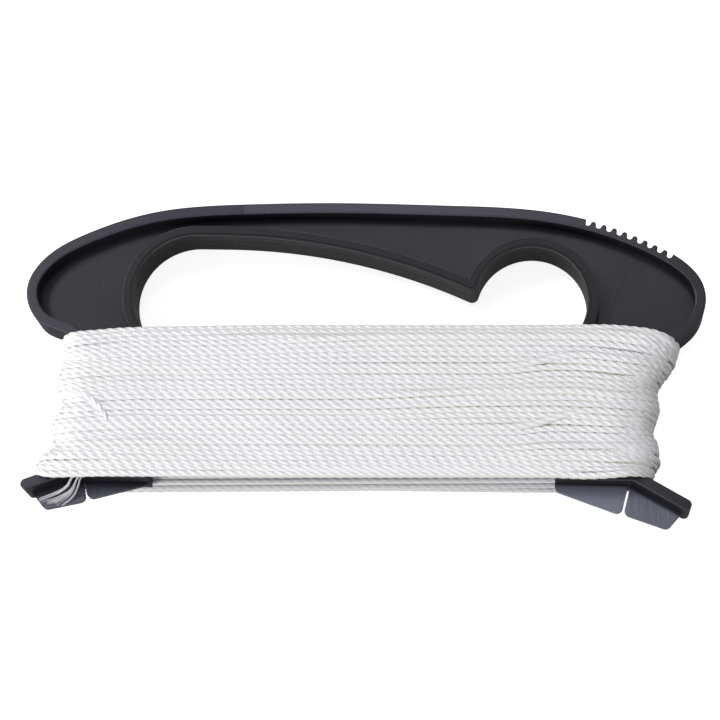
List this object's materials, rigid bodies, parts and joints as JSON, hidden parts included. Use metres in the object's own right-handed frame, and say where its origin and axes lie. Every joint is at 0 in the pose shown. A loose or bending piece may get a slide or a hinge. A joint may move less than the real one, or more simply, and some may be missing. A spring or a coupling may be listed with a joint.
{
  "type": "kite line winder",
  "caption": "Flat D-shaped hand winder: a finger opening in a ribbed web, a thumb grip on the rim, and two flared legs that carry a pack of twisted kite line.",
  "frame": {"origin": "middle of the underside of the whole part, on the surface it lies on", "axes": "+X along the handle towards the thumb ridges, +Y from the feet to the rim, +Z through the thickness, away from the surface"},
  "size_m": [0.2006, 0.0956, 0.0221],
  "materials": {
    "moulding": "black moulded plastic, satin, with a faint cool sheen on flat faces and fine flow marks",
    "soft_liner": "black soft elastomer, smooth and dull, slightly glossy on the bead",
    "line": "bright white twisted synthetic line of fine filaments, soft sheen along the strands"
  },
  "bodies": {
    "root": {"winder_frame": "moulding", "finger_grip_liner": "soft_liner", "wound_line": "line", "line_tail": "line", "line_start_knot": "line"}
  },
  "joints": []
}
